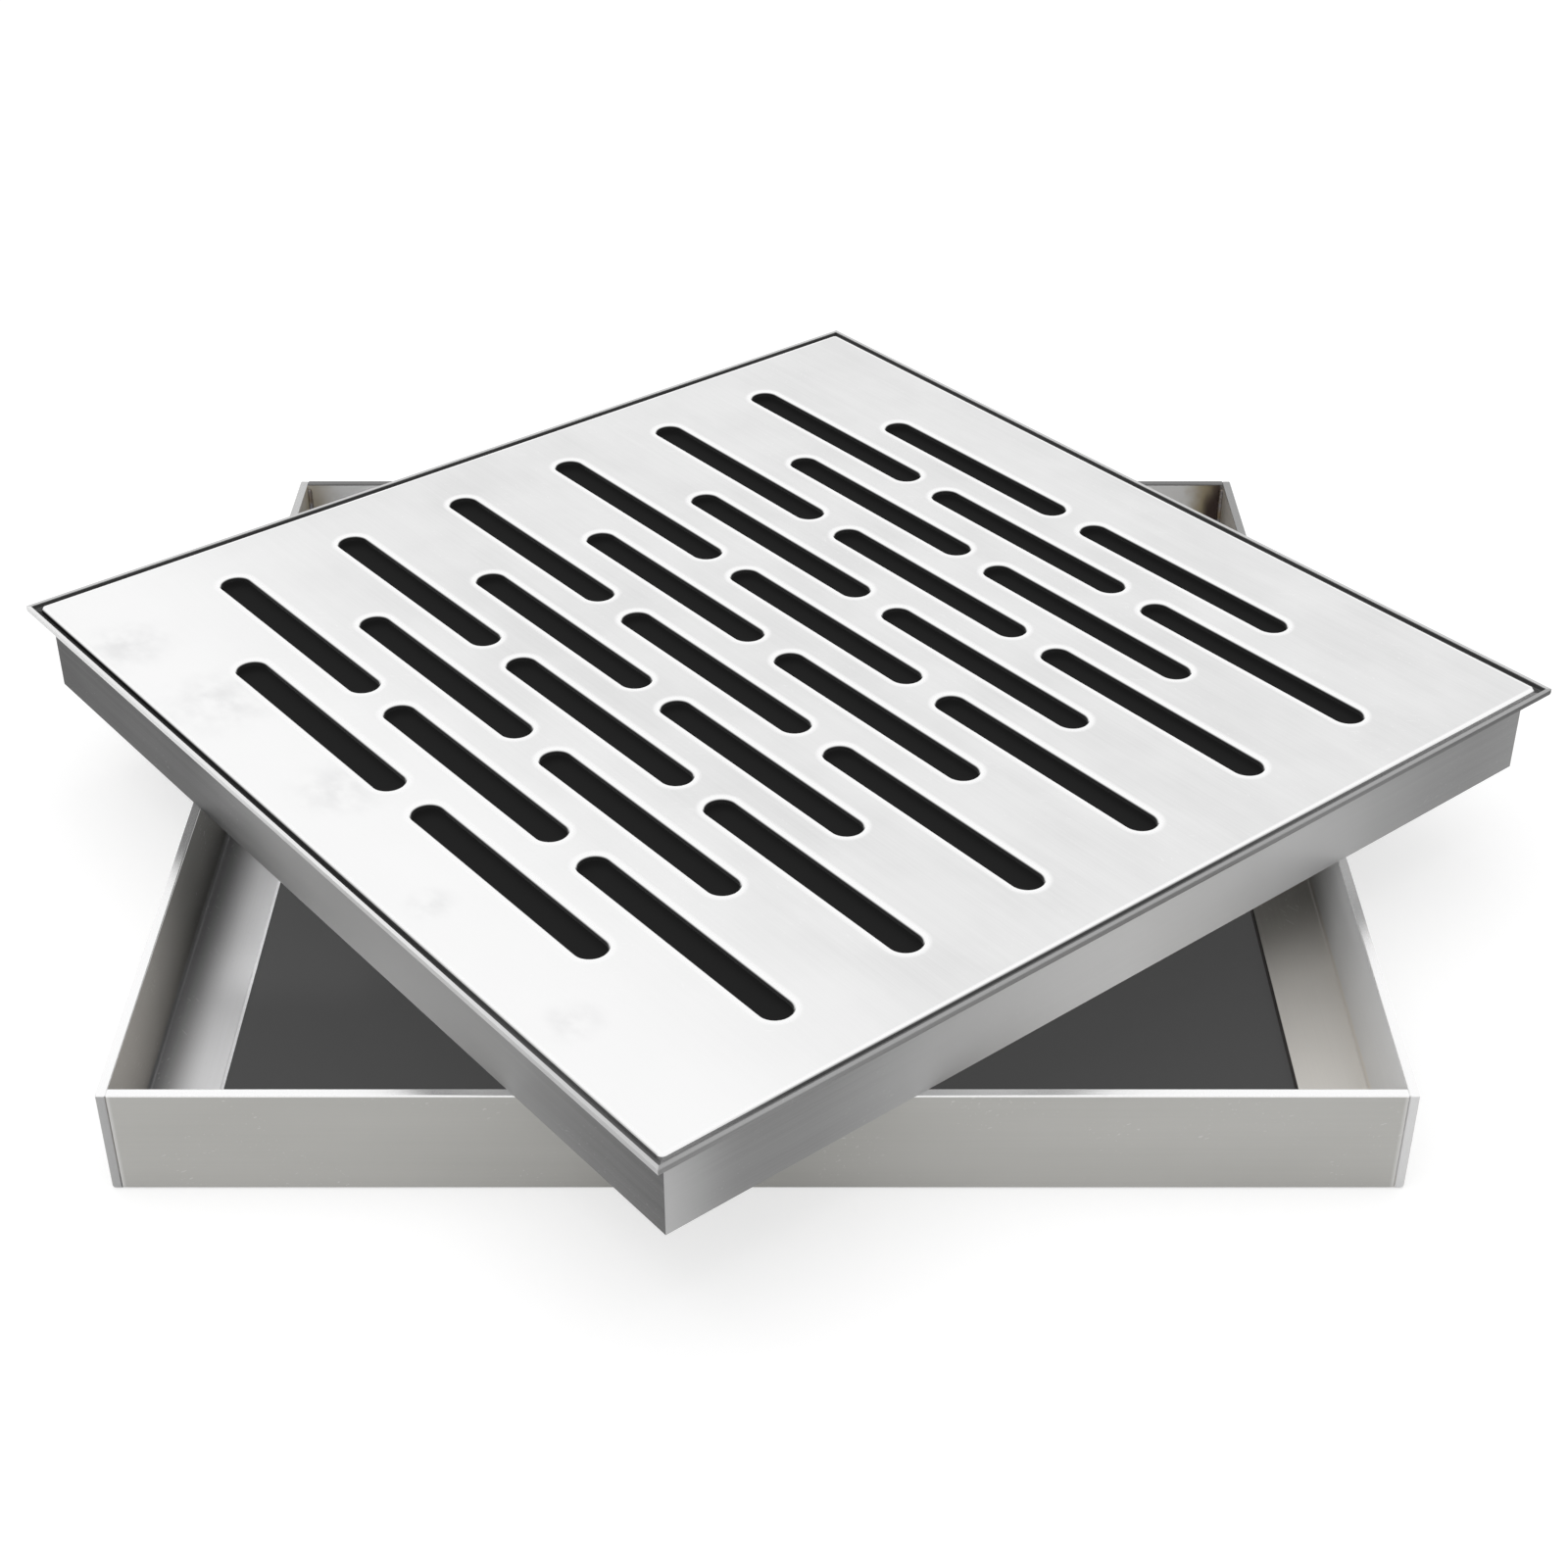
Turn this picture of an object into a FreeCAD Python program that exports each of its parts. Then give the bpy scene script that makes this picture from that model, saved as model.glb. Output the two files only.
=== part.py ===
import FreeCAD, Part
import math
import os

import Sketcher

# Square floor drain: an open frame of folded steel angle, and a slotted grate turned across its top edges.
# Millimetres, +Z up. The origin is on the ground under the grate's centre.

SIZES = [
    ("grate_side", 300, "side of the grate over its rim"),
    ("seat_clearance", 0.75, "room between the seated rim and each frame wall"),
    ("seat_recess", 1, "how far the seated plate lies below the frame's top edges"),
    ("frame_height", 29, "height of the frame's walls"),
    ("frame_sheet", 2.5, "sheet of the frame"),
    ("ledge_width", 20, "width of the frame's ledge, over the wall"),
    ("frame_fold", 0.6, "inside radius of the frame's fold"),
    ("frame_arris", 0.8, "outside radius of the frame's fold, which is grooved before folding"),
    ("frame_corner", 0.7, "rounding of the frame's ground upright corners"),
    ("frame_weld", 1.2, "leg of the beads inside the frame's corners"),
    ("seam_break", 0.15, "bevel beside the butt seams of the frame"),
    ("edge_break", 0.3, "rounding of the frame's sheared edges"),
    ("strip_sheet", 1, "sheet of the grate's edge strips"),
    ("strip_fold", 0.4, "inside radius of the edge strips' folds"),
    ("flange_overhang", 5, "reach of the rim past the skirt"),
    ("skirt_weld", 2, "leg of the beads inside the skirt's corners"),
    ("weld_margin", 1.5, "bare length at the ends of each weld bead"),
    ("plate_sheet", 1.5, "sheet of the slotted plate"),
    ("plate_gap", 1.8, "open joint between the plate and the lip round it"),
    ("plate_corner", 1.5, "rounding of the plate's corners"),
    ("plate_break", 0.5, "bevel of the plate's upper edges and slot rims"),
    ("slot_length", 78.5, "length of a slot over its round ends"),
    ("slot_width", 8.5, "width of a slot"),
    ("slot_bridge", 10.2, "metal left between the slots of a row"),
    ("row_web", 11, "metal left between two slot rows"),
    ("long_row_slots", 3, "slots in a long row"),
    ("short_row_slots", 2, "slots in a short row"),
    ("long_rows", 6, "long rows, which lie between the short ones"),
    ("short_rows", 7, "short rows"),
    ("bar_height", 16, "height of the stiffener bars"),
    ("bar_sheet", 3, "thickness of the stiffener bars"),
    ("bar_rows", 2.5, "row pitches from the plate's middle to a stiffener bar"),
    ("grate_turn", -51, "turn of the grate on the frame, in degrees"),
    ("grate_shift_x", 2, "grate's centre to the right of the frame's centre"),
    ("grate_shift_y", 5.2, "grate's centre behind the frame's centre"),
]

# A sketch element numbers its two ends from one
START, END = range(1, 3)

FULL_TURN = 360
CORNERS = 4
ROUNDING_ERROR = 1e-4
UP = FreeCAD.Vector(0, 0, 1)

doc = FreeCAD.newDocument("drain_grate")
sheet = doc.addObject("Spreadsheet::Sheet", "Sizes")
for number, (alias, size, meaning) in enumerate(SIZES, start=1):
    sheet.set(f"A{number}", str(size))
    sheet.setAlias(f"A{number}", alias)
    sheet.set(f"B{number}", meaning)
doc.recompute()

# Frame: half widths from its centre, outward to the wall's outer face and inward to the ledge's free edge
HALF_SEAT = "(Sizes.grate_side / 2 + Sizes.seat_clearance)"
HALF_FRAME = f"({HALF_SEAT} + Sizes.frame_sheet)"
HALF_DRAIN = f"({HALF_FRAME} - Sizes.ledge_width)"

# Grate: half widths from its centre, and heights above the skirt's lower edge
HALF_RIM = "(Sizes.grate_side / 2)"
HALF_LIP = f"({HALF_RIM} - Sizes.strip_sheet)"
HALF_PLATE = f"({HALF_LIP} - Sizes.plate_gap)"
SKIRT_FACE = f"({HALF_RIM} - Sizes.flange_overhang)"
SKIRT_BACK = f"({SKIRT_FACE} - Sizes.strip_sheet)"
GRATE_DEPTH = "(Sizes.frame_height - Sizes.frame_sheet - Sizes.seat_recess)"
PLATE_SEAT = f"({GRATE_DEPTH} - Sizes.plate_sheet)"
FLANGE_FOOT = f"({PLATE_SEAT} - Sizes.strip_sheet)"
OUTER_FOLD = "(Sizes.strip_fold + Sizes.strip_sheet)"
COLUMN_PITCH = "(Sizes.slot_length + Sizes.slot_bridge)"
ROW_PITCH = "(Sizes.slot_width + Sizes.row_web)"

FRAME_PLACE = ("-Sizes.grate_shift_x", "-Sizes.grate_shift_y", "0")
GRATE_PLACE = ("0", "0", "Sizes.frame_height")


def new_body(label, place, turn):
    """Start a piece at a place, turned about the upright axis; all values are expressions on the sheet."""
    body = doc.addObject("PartDesign::Body", label)
    body.Label = label
    for axis, expression in zip("xyz", place):
        body.setExpression(f"Placement.Base.{axis}", expression)
    body.Placement.Rotation = FreeCAD.Rotation(UP, 0)
    body.setExpression("Placement.Rotation.Angle", turn)
    return body


def origin_item(body, role):
    """Find one of the body's own origin planes or axes."""
    return next(item for item in body.Origin.OriginFeatures if item.Role == role)


def new_sketch(body, name, plane, lift="0"):
    """Start a sketch on one of the body's origin planes, lifted along the plane's normal."""
    sketch = body.newObject("Sketcher::SketchObject", name)
    sketch.AttachmentSupport = [(origin_item(body, plane), "")]
    sketch.MapMode = "FlatFace"
    sketch.setExpression("AttachmentOffset.Base.z", lift)
    return sketch


def length_of(expression):
    """Length that an expression on the sheet has now."""
    return float(sheet.evalExpression(expression))


def pin(sketch, kind, element, expression, point=None):
    """Hold a coordinate or a radius of the sketch at a size from the sheet."""
    target = (element,) if point is None else (element, point)
    index = sketch.addConstraint(Sketcher.Constraint(kind, *target, length_of(expression)))
    sketch.setExpression(f"Constraints[{index}]", expression)


def at(across, up):
    """Point of a sketch from two expressions."""
    return FreeCAD.Vector(length_of(across), length_of(up), 0)


def draw_polygon(sketch, points):
    """Draw a closed outline with every corner held in both directions."""
    places = [at(*point) for point in points]
    sides = []
    for place, ahead in zip(places, places[1:] + places[:1]):
        sides.append(sketch.addGeometry(Part.LineSegment(place, ahead)))
    for side, behind, point in zip(sides, sides[-1:] + sides[:-1], points):
        sketch.addConstraint(Sketcher.Constraint("Coincident", behind, END, side, START))
        pin(sketch, "DistanceX", side, point[0], START)
        pin(sketch, "DistanceY", side, point[1], START)


def draw_bend(sketch, behind, ahead, corner, radius):
    """Round a square corner between two sides that already stop short of it."""
    first = sketch.getPoint(behind, END)
    last = sketch.getPoint(ahead, START)
    centre = first + last - corner
    circle = Part.Circle(centre, UP, (first - centre).Length)
    left_turn = (corner - first).cross(last - corner).z > 0
    begin, finish = (first, last) if left_turn else (last, first)
    angles = [math.atan2(point.y - centre.y, point.x - centre.x) for point in (begin, finish)]
    arc = sketch.addGeometry(Part.ArcOfCircle(circle, *angles))
    near, far = (START, END) if left_turn else (END, START)
    sketch.addConstraint(Sketcher.Constraint("Tangent", behind, END, arc, near))
    sketch.addConstraint(Sketcher.Constraint("Tangent", arc, far, ahead, START))
    pin(sketch, "Radius", arc, radius)


def draw_section(sketch, corners):
    """Draw a closed section of level and upright sides; a corner is across, up and its radius or None."""
    places = [at(across, up) for across, up, radius in corners]
    trims = [length_of(radius) if radius else 0 for across, up, radius in corners]
    sides = []
    for number, place in enumerate(places):
        after = (number + 1) % len(corners)
        along = (places[after] - place).normalize()
        side = Part.LineSegment(place + along * trims[number], places[after] - along * trims[after])
        sides.append(sketch.addGeometry(side))
    for number, (across, up, radius) in enumerate(corners):
        side = sides[number]
        upright = across == corners[(number + 1) % len(corners)][0]
        sketch.addConstraint(Sketcher.Constraint("Vertical" if upright else "Horizontal", side))
        pin(sketch, "DistanceX" if upright else "DistanceY", side, across if upright else up, START)
        if radius:
            draw_bend(sketch, sides[number - 1], side, places[number], radius)
        else:
            sketch.addConstraint(Sketcher.Constraint("Coincident", sides[number - 1], END, side, START))


def draw_slot(sketch, across, up, length, width):
    """Draw a round-ended slot about a centre point."""
    reach = f"(({length}) - ({width})) / 2"
    low = f"({up}) - ({width}) / 2"
    high = f"({up}) + ({width}) / 2"
    left = f"({across}) - {reach}"
    right = f"({across}) + {reach}"
    quarter = math.pi / 2
    right_circle = Part.Circle(at(right, up), UP, length_of(width) / 2)
    left_circle = Part.Circle(at(left, up), UP, length_of(width) / 2)
    bottom = sketch.addGeometry(Part.LineSegment(at(left, low), at(right, low)))
    right_end = sketch.addGeometry(Part.ArcOfCircle(right_circle, -quarter, quarter))
    top = sketch.addGeometry(Part.LineSegment(at(right, high), at(left, high)))
    left_end = sketch.addGeometry(Part.ArcOfCircle(left_circle, quarter, 3 * quarter))
    loop = [bottom, right_end, top, left_end]
    for element, following in zip(loop, loop[1:] + loop[:1]):
        sketch.addConstraint(Sketcher.Constraint("Tangent", element, END, following, START))
    sketch.addConstraint(Sketcher.Constraint("Horizontal", bottom))
    sketch.addConstraint(Sketcher.Constraint("Horizontal", top))
    pin(sketch, "DistanceX", bottom, left, START)
    pin(sketch, "DistanceX", bottom, right, END)
    pin(sketch, "DistanceY", bottom, low, START)
    pin(sketch, "Radius", right_end, f"({width}) / 2")


def pad(body, sketch, name, length, both_ways=False):
    """Give a sketch its thickness, along its normal or half to each side."""
    feature = body.newObject("PartDesign::Pad", name)
    feature.Profile = sketch
    feature.SideType = "Symmetric" if both_ways else "One side"
    feature.setExpression("Length", length)
    doc.recompute()
    return feature


def cut_through(body, sketch, name):
    """Cut a sketch through the whole piece, to both sides of its plane."""
    before = body.Shape.Volume
    feature = body.newObject("PartDesign::Pocket", name)
    feature.Profile = sketch
    feature.Type = "ThroughAll"
    feature.Midplane = True
    doc.recompute()
    if feature.Shape.Volume >= before:
        raise RuntimeError(f"{body.Label}: {name} removes nothing")
    return feature


def cut_mitres(body, near, far, end):
    """Mitre both ends along the diagonals, over the band of the piece between two half widths."""
    sketch = new_sketch(body, "MitreLines", "XY_Plane")
    for sign in ("", "-"):
        corners = [(near, near), (far, far), (end, far), (end, near)]
        draw_polygon(sketch, [(sign + across, up) for across, up in corners])
    return cut_through(body, sketch, "MitreCuts")


def cut_seam_bevels(body, half_length):
    """Bevel the outer and upper edges of both wall ends, so that the butt seams read as fine grooves."""
    cut_end_bevels(body, "Outer", "XY_Plane", half_length, HALF_FRAME)
    cut_end_bevels(body, "Upper", "XZ_Plane", half_length, "Sizes.frame_height")


def cut_end_bevels(body, name, plane, half_length, face):
    """Cut one triangle off each end; its long side crosses both faces one bevel from their edge."""
    bevel = "Sizes.seam_break"
    sketch = new_sketch(body, f"{name}BevelLines", plane)
    for sign in ("", "-"):
        inward = f"{sign}({half_length} - 2 * {bevel})"
        outward = f"{sign}({half_length} + {bevel})"
        below = f"({face} - 2 * {bevel})"
        above = f"({face} + {bevel})"
        draw_polygon(sketch, [(inward, above), (outward, below), (outward, above)])
    cut_through(body, sketch, f"{name}Bevels")


def round_upright_corners(body, half_length):
    """Round the frame's outer upright corners at both ends of a wall that runs through."""
    base = body.Tip
    outer_face = length_of(HALF_FRAME)
    end_face = length_of(half_length)
    corners = []
    for number, edge in enumerate(base.Shape.Edges, start=1):
        points = [vertex.Point for vertex in edge.Vertexes]
        if all(close(point.y, outer_face) and close(abs(point.x), end_face) for point in points):
            corners.append(f"Edge{number}")
    rounding = body.newObject("PartDesign::Fillet", "GroundCorners")
    rounding.Base = (base, corners)
    rounding.setExpression("Radius", "Sizes.frame_corner")
    body.Tip = rounding
    doc.recompute()


def close(first, second):
    """True where two lengths are the same but for rounding."""
    return abs(first - second) < ROUNDING_ERROR


def make_frame_angle(label, turn, half_length):
    """One side of the frame, modelled as the back one: wall outermost, mitred ledge inward."""
    body = new_body(label, FRAME_PLACE, turn)
    section = new_sketch(body, "AngleSection", "YZ_Plane")
    draw_section(section, [
        (HALF_FRAME, "0", "Sizes.frame_arris"),
        (HALF_FRAME, "Sizes.frame_height", "Sizes.edge_break"),
        (HALF_SEAT, "Sizes.frame_height", "Sizes.edge_break"),
        (HALF_SEAT, "Sizes.frame_sheet", "Sizes.frame_fold"),
        (HALF_DRAIN, "Sizes.frame_sheet", "Sizes.edge_break"),
        (HALF_DRAIN, "0", "Sizes.edge_break"),
    ])
    pad(body, section, "Angle", f"2 * {half_length}", both_ways=True)
    far_end = f"({HALF_FRAME} + Sizes.frame_sheet)"
    past_ledge = f"({HALF_DRAIN} - Sizes.frame_sheet)"
    cut_mitres(body, past_ledge, HALF_SEAT, far_end)
    runs_through = half_length == HALF_FRAME
    if runs_through:
        round_upright_corners(body, half_length)
    else:
        cut_seam_bevels(body, half_length)
    return body


def make_corner_beads(label, place, turn, half_width, leg, foot, length):
    """Four upright weld beads in the inside corners of a square, one node of four solids."""
    body = new_body(label, place, turn)
    section = new_sketch(body, "BeadSection", "XY_Plane", lift=foot)
    inner = f"({half_width} - {leg})"
    draw_polygon(section, [(half_width, half_width), (inner, half_width), (half_width, inner)])
    bead = pad(body, section, "Bead", length)
    corners = body.newObject("PartDesign::PolarPattern", "Corners")
    corners.Originals = [bead]
    corners.Axis = (origin_item(body, "Z_Axis"), [""])
    corners.Angle = FULL_TURN
    corners.Occurrences = CORNERS
    body.Tip = corners
    doc.recompute()
    return body


def make_edge_strip(label, turn):
    """One edge of the grate, modelled as its back one: skirt, outward flange and upturned lip."""
    body = new_body(label, GRATE_PLACE, turn)
    section = new_sketch(body, "StripSection", "YZ_Plane")
    draw_section(section, [
        (SKIRT_BACK, "0", None),
        (SKIRT_FACE, "0", None),
        (SKIRT_FACE, FLANGE_FOOT, "Sizes.strip_fold"),
        (HALF_RIM, FLANGE_FOOT, OUTER_FOLD),
        (HALF_RIM, GRATE_DEPTH, None),
        (HALF_LIP, GRATE_DEPTH, None),
        (HALF_LIP, PLATE_SEAT, "Sizes.strip_fold"),
        (SKIRT_BACK, PLATE_SEAT, OUTER_FOLD),
    ])
    pad(body, section, "Strip", "Sizes.grate_side", both_ways=True)
    inside = f"({SKIRT_BACK} - Sizes.strip_sheet)"
    outside = f"({HALF_RIM} + Sizes.strip_sheet)"
    cut_mitres(body, inside, outside, f"({outside} + Sizes.strip_sheet)")
    return body


def cut_slot_rows(body, name, slots, rows):
    """Cut a grid of slots, centred on the plate, that fills every second row."""
    first_slot = f"-({slots} - 1) / 2 * {COLUMN_PITCH}"
    first_row = f"-({rows} - 1) * {ROW_PITCH}"
    sketch = new_sketch(body, f"{name}Slot", "XY_Plane")
    draw_slot(sketch, first_slot, first_row, "Sizes.slot_length", "Sizes.slot_width")
    slot = cut_through(body, sketch, f"{name}Cut")
    grid = body.newObject("PartDesign::MultiTransform", f"{name}Grid")
    grid.Originals = [slot]
    along = spread(body, f"{name}Along", sketch, "H_Axis", COLUMN_PITCH, slots)
    across = spread(body, f"{name}Across", sketch, "V_Axis", f"2 * {ROW_PITCH}", rows)
    grid.Transformations = [along, across]
    body.Tip = grid
    doc.recompute()
    return grid


def spread(body, name, sketch, axis, pitch, count):
    """Repeat a slot along one axis of its sketch."""
    step = body.newObject("PartDesign::LinearPattern", name)
    step.Direction = (sketch, [axis])
    step.Mode = "Spacing"
    step.setExpression("Offset", pitch)
    step.setExpression("Occurrences", count)
    return step


def make_slotted_plate(label):
    """The walking surface: a flat sheet with rounded corners, staggered slots and bevelled upper edges."""
    body = new_body(label, GRATE_PLACE, "Sizes.grate_turn")
    outline = new_sketch(body, "PlateOutline", "XY_Plane", lift=PLATE_SEAT)
    draw_section(outline, [
        (f"-{HALF_PLATE}", f"-{HALF_PLATE}", "Sizes.plate_corner"),
        (HALF_PLATE, f"-{HALF_PLATE}", "Sizes.plate_corner"),
        (HALF_PLATE, HALF_PLATE, "Sizes.plate_corner"),
        (f"-{HALF_PLATE}", HALF_PLATE, "Sizes.plate_corner"),
    ])
    pad(body, outline, "Plate", "Sizes.plate_sheet")
    cut_slot_rows(body, "LongRow", "Sizes.long_row_slots", "Sizes.long_rows")
    slotted = cut_slot_rows(body, "ShortRow", "Sizes.short_row_slots", "Sizes.short_rows")
    heights = [face.CenterOfMass.z for face in slotted.Shape.Faces]
    upper_face = f"Face{heights.index(max(heights)) + 1}"
    bevels = body.newObject("PartDesign::Chamfer", "DeburredEdges")
    bevels.Base = (slotted, [upper_face])
    bevels.setExpression("Size", "Sizes.plate_break")
    body.Tip = bevels
    doc.recompute()
    return body


def make_stiffener_bar(label, side):
    """Flat bar on edge under the plate, from skirt to skirt, under the solid web between two slot rows."""
    body = new_body(label, GRATE_PLACE, "Sizes.grate_turn")
    middle = f"({side} * Sizes.bar_rows * {ROW_PITCH})"
    near = f"({middle} - Sizes.bar_sheet / 2)"
    far = f"({middle} + Sizes.bar_sheet / 2)"
    foot = f"({PLATE_SEAT} - Sizes.bar_height)"
    section = new_sketch(body, "BarSection", "YZ_Plane")
    draw_section(section, [
        (near, foot, None),
        (far, foot, None),
        (far, PLATE_SEAT, None),
        (near, PLATE_SEAT, None),
    ])
    pad(body, section, "Bar", f"2 * {SKIRT_BACK}", both_ways=True)
    return body


def check(pieces):
    """Stop unless every feature solved and every piece is a valid solid or group of solids."""
    for item in doc.Objects:
        if "Invalid" in item.State or "Error" in item.State:
            raise RuntimeError(f"{item.Label} is {item.State}")
    for piece in pieces:
        if piece.Shape.isNull() or not piece.Shape.isValid() or not piece.Shape.Solids:
            raise RuntimeError(f"{piece.Label} has no valid solid")


pieces = [
    make_frame_angle("frame_back_angle", "0", HALF_SEAT),
    make_frame_angle("frame_left_angle", "90", HALF_FRAME),
    make_frame_angle("frame_front_angle", "180", HALF_SEAT),
    make_frame_angle("frame_right_angle", "270", HALF_FRAME),
    make_corner_beads(
        "frame_corner_welds", FRAME_PLACE, "0", HALF_SEAT, "Sizes.frame_weld",
        "(Sizes.frame_sheet + Sizes.frame_fold)",
        "(Sizes.frame_height - Sizes.frame_sheet - Sizes.frame_fold - Sizes.weld_margin)",
    ),
    make_slotted_plate("slotted_plate"),
    make_edge_strip("grate_edge_back_right", "Sizes.grate_turn"),
    make_edge_strip("grate_edge_back_left", "Sizes.grate_turn + 90"),
    make_edge_strip("grate_edge_front_left", "Sizes.grate_turn + 180"),
    make_edge_strip("grate_edge_front_right", "Sizes.grate_turn + 270"),
    make_corner_beads(
        "grate_corner_welds", GRATE_PLACE, "Sizes.grate_turn", SKIRT_BACK, "Sizes.skirt_weld",
        "Sizes.weld_margin",
        f"({PLATE_SEAT} - {OUTER_FOLD} - 2 * Sizes.weld_margin)",
    ),
    make_stiffener_bar("stiffener_bar_back", "1"),
    make_stiffener_bar("stiffener_bar_front", "-1"),
]
doc.recompute()
check(pieces)

os.makedirs("parts", exist_ok=True)
for piece in pieces:
    piece.Shape.exportStep(os.path.join("parts", f"{piece.Label}.step"))
    print(f"{piece.Label}: {len(piece.Shape.Solids)} solid(s), {piece.Shape.Volume / 1000:.2f} cm3")
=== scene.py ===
# %% [markdown]
# This lesson dresses a square stainless floor drain. An open frame of folded steel stands on the floor,
# and its slotted grate lies turned across the frame's top edges. The shapes come ready made from the
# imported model, so almost all of the work is in the finishes: brushed steel, polished cut edges, dirt,
# weld beads and their heat tint.

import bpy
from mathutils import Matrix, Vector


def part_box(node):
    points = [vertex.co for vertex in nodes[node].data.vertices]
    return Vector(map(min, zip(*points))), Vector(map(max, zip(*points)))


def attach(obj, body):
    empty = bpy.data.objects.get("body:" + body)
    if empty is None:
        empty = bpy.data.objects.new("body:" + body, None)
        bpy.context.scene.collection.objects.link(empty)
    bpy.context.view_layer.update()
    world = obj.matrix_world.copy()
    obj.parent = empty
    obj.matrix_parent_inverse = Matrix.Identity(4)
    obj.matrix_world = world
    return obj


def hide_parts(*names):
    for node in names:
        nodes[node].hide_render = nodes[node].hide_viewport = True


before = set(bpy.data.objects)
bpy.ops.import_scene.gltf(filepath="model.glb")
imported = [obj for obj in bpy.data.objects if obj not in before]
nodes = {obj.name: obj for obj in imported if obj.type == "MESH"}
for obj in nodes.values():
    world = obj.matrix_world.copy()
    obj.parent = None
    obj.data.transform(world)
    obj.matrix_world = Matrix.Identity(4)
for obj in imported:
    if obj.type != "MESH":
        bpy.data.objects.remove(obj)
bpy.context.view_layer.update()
print("pieces:", ", ".join(sorted(nodes)))

# %% [markdown]
# The picture was taken from the front, a little above the drain, with a normal lens. A camera can be
# placed by eye, or worked out from corners whose real places are known. Working it out keeps every edge
# where the picture has it, so the place, the aim and the lens here come from such a fit.

# %% Camera
import math

import bpy
from mathutils import Vector

CAMERA_PLACE = Vector((0.00413, -0.6065, 0.4201))
CAMERA_AIM = Vector((0.00413, 0.01258, 0.0))
LENS_MM = 58.69
SENSOR_MM = 36

scene = bpy.context.scene
camera = bpy.data.objects.new("camera", bpy.data.cameras.new("camera"))
camera.data.lens = LENS_MM
camera.data.sensor_width = SENSOR_MM
camera.location = CAMERA_PLACE
camera.rotation_euler = (CAMERA_AIM - CAMERA_PLACE).to_track_quat("-Z", "Y").to_euler()
scene.collection.objects.link(camera)
scene.camera = camera
scene.view_settings.view_transform = "Standard"
downward = math.asin((CAMERA_PLACE - CAMERA_AIM).normalized().z)
print("camera looks down by", round(math.degrees(downward), 1), "degrees")

# %% [markdown]
# Every finish is a tree of shader nodes. It could be drawn by hand in the shader editor, but a script can
# repeat it for each piece. A few small helpers keep the cells short: they add a node and fill its inputs,
# mix two colours or two numbers, do one sum, make a smooth step, take the opposite, the largest or the
# product of amounts, and name a plain grey. An input may be a number or the output of another node.


# %% Helpers for shader nodes
def put(tree, kind, inputs=None, **options):
    """Add a node, set its options, and fill its inputs with values or with outputs of other nodes."""
    node = tree.nodes.new(kind)
    for option, value in options.items():
        setattr(node, option, value)
    for socket, value in (inputs or {}).items():
        if isinstance(value, bpy.types.NodeSocket):
            tree.links.new(value, node.inputs[socket])
        else:
            node.inputs[socket].default_value = value
    return node


def mix_colours(tree, amount, under, over):
    """Colour that goes from under to over as the amount goes from 0 to 1."""
    node = put(tree, "ShaderNodeMix", {0: amount, 6: under, 7: over}, data_type="RGBA")
    return node.outputs[2]


def mix_values(tree, amount, low, high):
    """Number that goes from low to high as the amount goes from 0 to 1."""
    return put(tree, "ShaderNodeMix", {0: amount, 2: low, 3: high}, data_type="FLOAT").outputs[0]


def calc(tree, operation, first, second=0.0):
    """One sum on one or two numbers."""
    return put(tree, "ShaderNodeMath", {0: first, 1: second}, operation=operation).outputs[0]


def ramp_between(tree, value, start, end):
    """Smooth step: 0 before start, 1 after end."""
    inputs = {"Value": value, "From Min": start, "From Max": end}
    return put(tree, "ShaderNodeMapRange", inputs, interpolation_type="SMOOTHSTEP").outputs[0]


def opposite(tree, amount):
    """1 where the amount is 0, and 0 where it is 1."""
    return calc(tree, "SUBTRACT", 1.0, amount)


def largest(tree, amounts):
    """The largest of several amounts."""
    found = amounts[0]
    for amount in amounts[1:]:
        found = calc(tree, "MAXIMUM", found, amount)
    return found


def product(tree, amounts):
    """Several amounts multiplied together."""
    found = amounts[0]
    for amount in amounts[1:]:
        found = calc(tree, "MULTIPLY", found, amount)
    return found


def grey(level):
    """Plain grey of one linear level."""
    return (level, level, level, 1)


print("shader helpers ready")

# %% [markdown]
# Several steels share the same effects. An effect could be copied into every material, but a node group
# is built once and changed in one place. A group has named inputs, such as the length of a brush stroke,
# and puts out one mask or value that changes over the surface.


# %% Start of a node group
def new_group(name, inputs, outputs):
    """Make an empty group with its named sockets, and return it with its input and output nodes."""
    group = bpy.data.node_groups.new(name, "ShaderNodeTree")
    for label, kind, start in inputs:
        socket = group.interface.new_socket(label, in_out="INPUT", socket_type=kind)
        if start is not None:
            socket.default_value = start
    for label in outputs:
        group.interface.new_socket(label, in_out="OUTPUT", socket_type="NodeSocketFloat")
    return group, group.nodes.new("NodeGroupInput").outputs, group.nodes.new("NodeGroupOutput").inputs


PLACE = ("Place", "NodeSocketVector", None)
print("start of a node group ready")

# %% [markdown]
# Brushed steel gets its grain from an abrasive belt: very long, very thin strokes all in one direction. A
# striped texture would look printed, so this stretches a noise instead. The place is divided by the
# length of a stroke along the sheet and by its width across it, and a second, coarser noise adds the
# belt's wider bands.

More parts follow.
